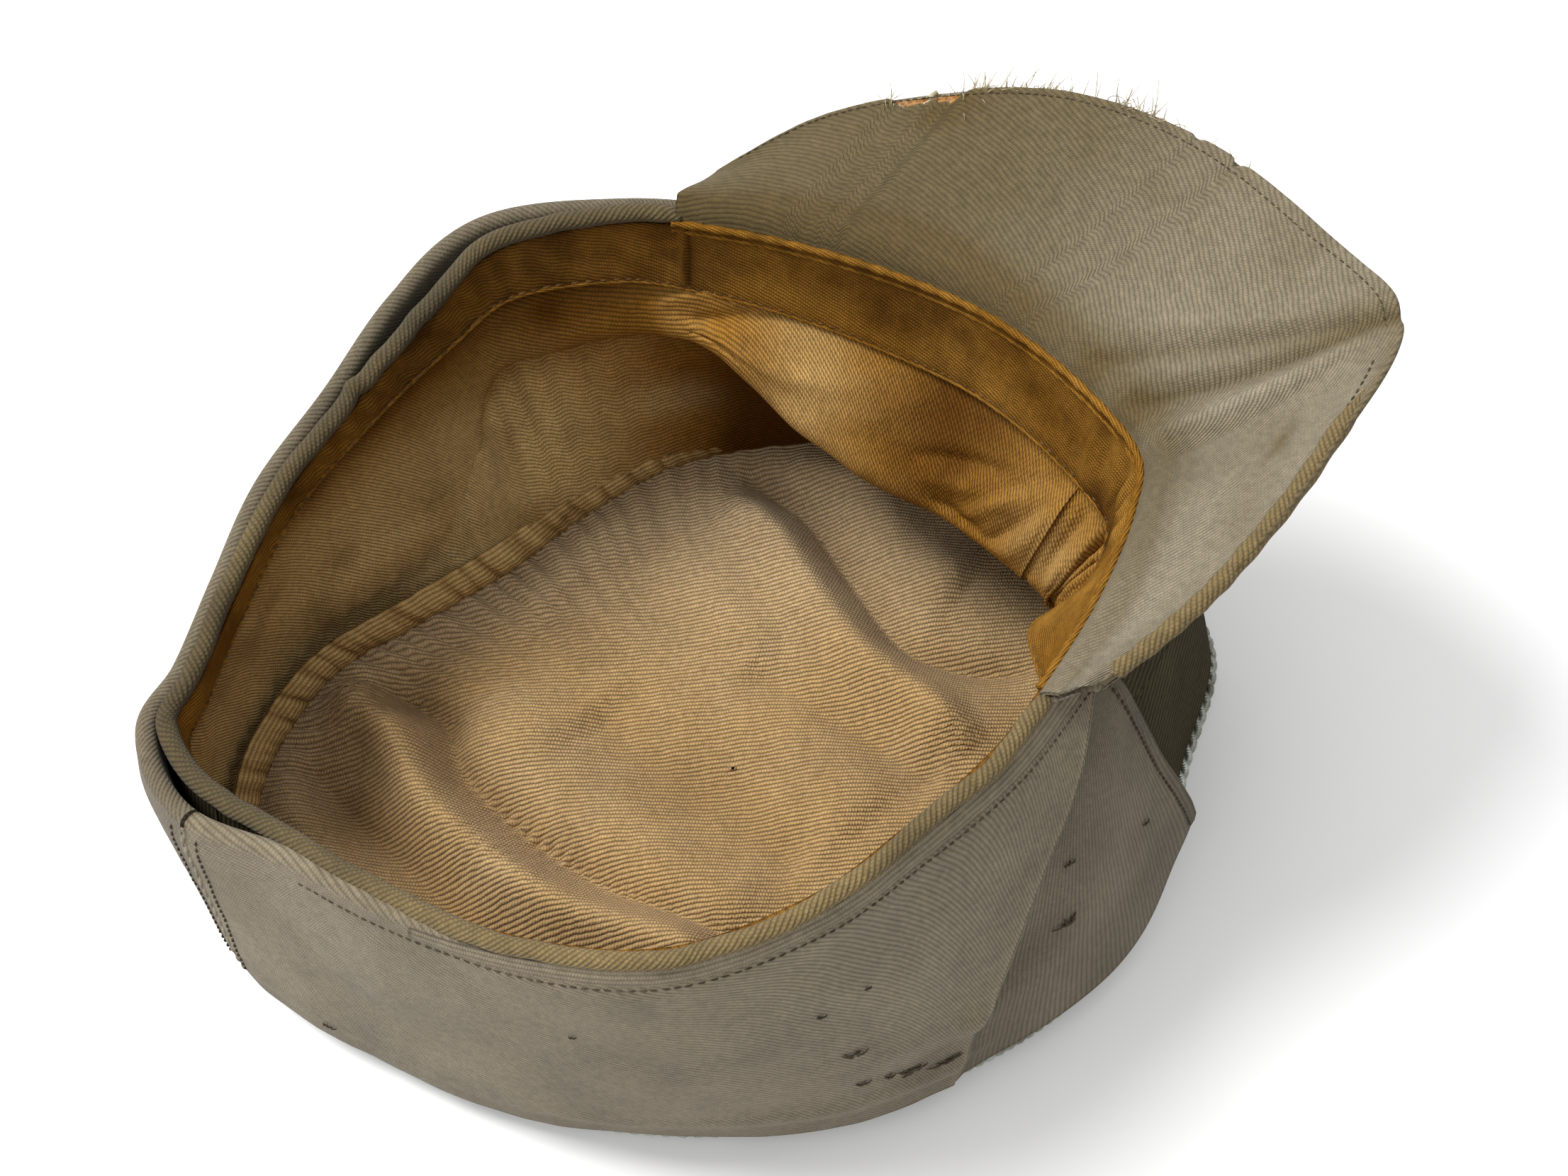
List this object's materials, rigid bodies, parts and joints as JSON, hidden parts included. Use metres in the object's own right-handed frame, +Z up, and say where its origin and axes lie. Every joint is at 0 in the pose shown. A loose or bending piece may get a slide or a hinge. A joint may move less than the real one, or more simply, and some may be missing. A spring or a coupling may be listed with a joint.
{
  "type": "peaked field cap",
  "caption": "Soft peaked field cap of twill lying crown down, with a stiffened peak, sweatband and a buttoned flap that folds down from the rim.",
  "frame": {"origin": "on the resting plane, under the middle of the cap, which lies on its crown", "axes": "+Z up out of the head opening, -Y towards the peak, -X towards the wearer's left"},
  "size_m": [0.1904, 0.2582, 0.13],
  "materials": {
    "twill": "grey-brown diagonal twill, worn",
    "lining": "tan ribbed twill, stained",
    "facing": "thin grey-brown lining twill",
    "sweatband": "ochre cloth darkened by wear",
    "silver_cord": "twisted metallic thread cord",
    "fibreboard": "orange-tan pressed fibre",
    "button_metal": "pebbled and dulled",
    "thread": "dark brown sewing thread"
  },
  "bodies": {
    "cap": {"crown_top": "twill", "crown_piping": "silver_cord", "crown_lining": "lining", "crown_seam_tape": "lining", "body_left": "twill", "body_right": "twill", "side_lining_left": "lining", "side_lining_right": "lining", "sweatband": "sweatband", "rim_hem": "twill", "flap_hinge_band": "twill", "peak_board": "fibreboard", "peak_top_cover": "twill", "peak_under_cover": "twill", "flap_back_left": "twill", "flap_back_right": "twill", "flap_back_left_facing": "facing", "flap_back_right_facing": "facing", "rim_stitching": "thread", "sweatband_stitching": "thread", "back_seam_stitching": "thread", "peak_stitching": "thread"},
    "left_flap": {"flap_side_left": "twill", "flap_side_left_facing": "facing"},
    "left_tab": {"flap_tab_left": "twill", "flap_tab_left_facing": "facing"},
    "right_flap": {"flap_side_right": "twill", "flap_side_right_facing": "facing"},
    "right_tab": {"flap_tab_right": "twill", "flap_tab_right_facing": "facing", "button_shanks": "thread"},
    "button_high": {"upper_button": "button_metal"},
    "button_low": {"lower_button": "button_metal"}
  },
  "joints": [
    {"name": "left_flap_fold", "type": "hinge", "parent": "cap", "child": "left_flap", "pos_m": [-0.0818, -0.0225, 0.1], "axis": [-0.1898, 0.9818, 0], "range_deg": [0, 50]},
    {"name": "left_tab_swing", "type": "hinge", "parent": "left_flap", "child": "left_tab", "pos_m": [-0.0916, -0.0292, 0.0558], "axis": [-0.2603, 0.4205, -0.8691], "range_deg": [0, 65], "deforming": ["flap_tab_left"]},
    {"name": "right_flap_fold", "type": "hinge", "parent": "cap", "child": "right_flap", "pos_m": [0.0832, -0.0215, 0.0978], "axis": [-0.2943, -0.9507, 0.0981], "range_deg": [0, 30]},
    {"name": "right_tab_swing", "type": "hinge", "parent": "right_flap", "child": "right_tab", "pos_m": [0.0804, -0.0442, 0.0566], "axis": [-0.154, -0.1942, 0.9688], "range_deg": [0, 40]},
    {"name": "upper_button_turn", "type": "hinge", "parent": "right_tab", "child": "button_high", "pos_m": [-0.00188, -0.11641, 0.07178], "axis": [0.1578, -0.9225, 0.3524], "range_deg": [-30, 30]},
    {"name": "lower_button_turn", "type": "hinge", "parent": "right_tab", "child": "button_low", "pos_m": [-0.00038, -0.10875, 0.09044], "axis": [0.1832, -0.9105, 0.3706], "range_deg": [-30, 30]}
  ],
  "couplings": [
    {"joint": "left_tab_swing", "follows": "left_flap_fold", "ratio": 1.3},
    {"joint": "right_flap_fold", "follows": "left_flap_fold", "ratio": 0.6},
    {"joint": "right_tab_swing", "follows": "left_flap_fold", "ratio": 0.8}
  ]
}
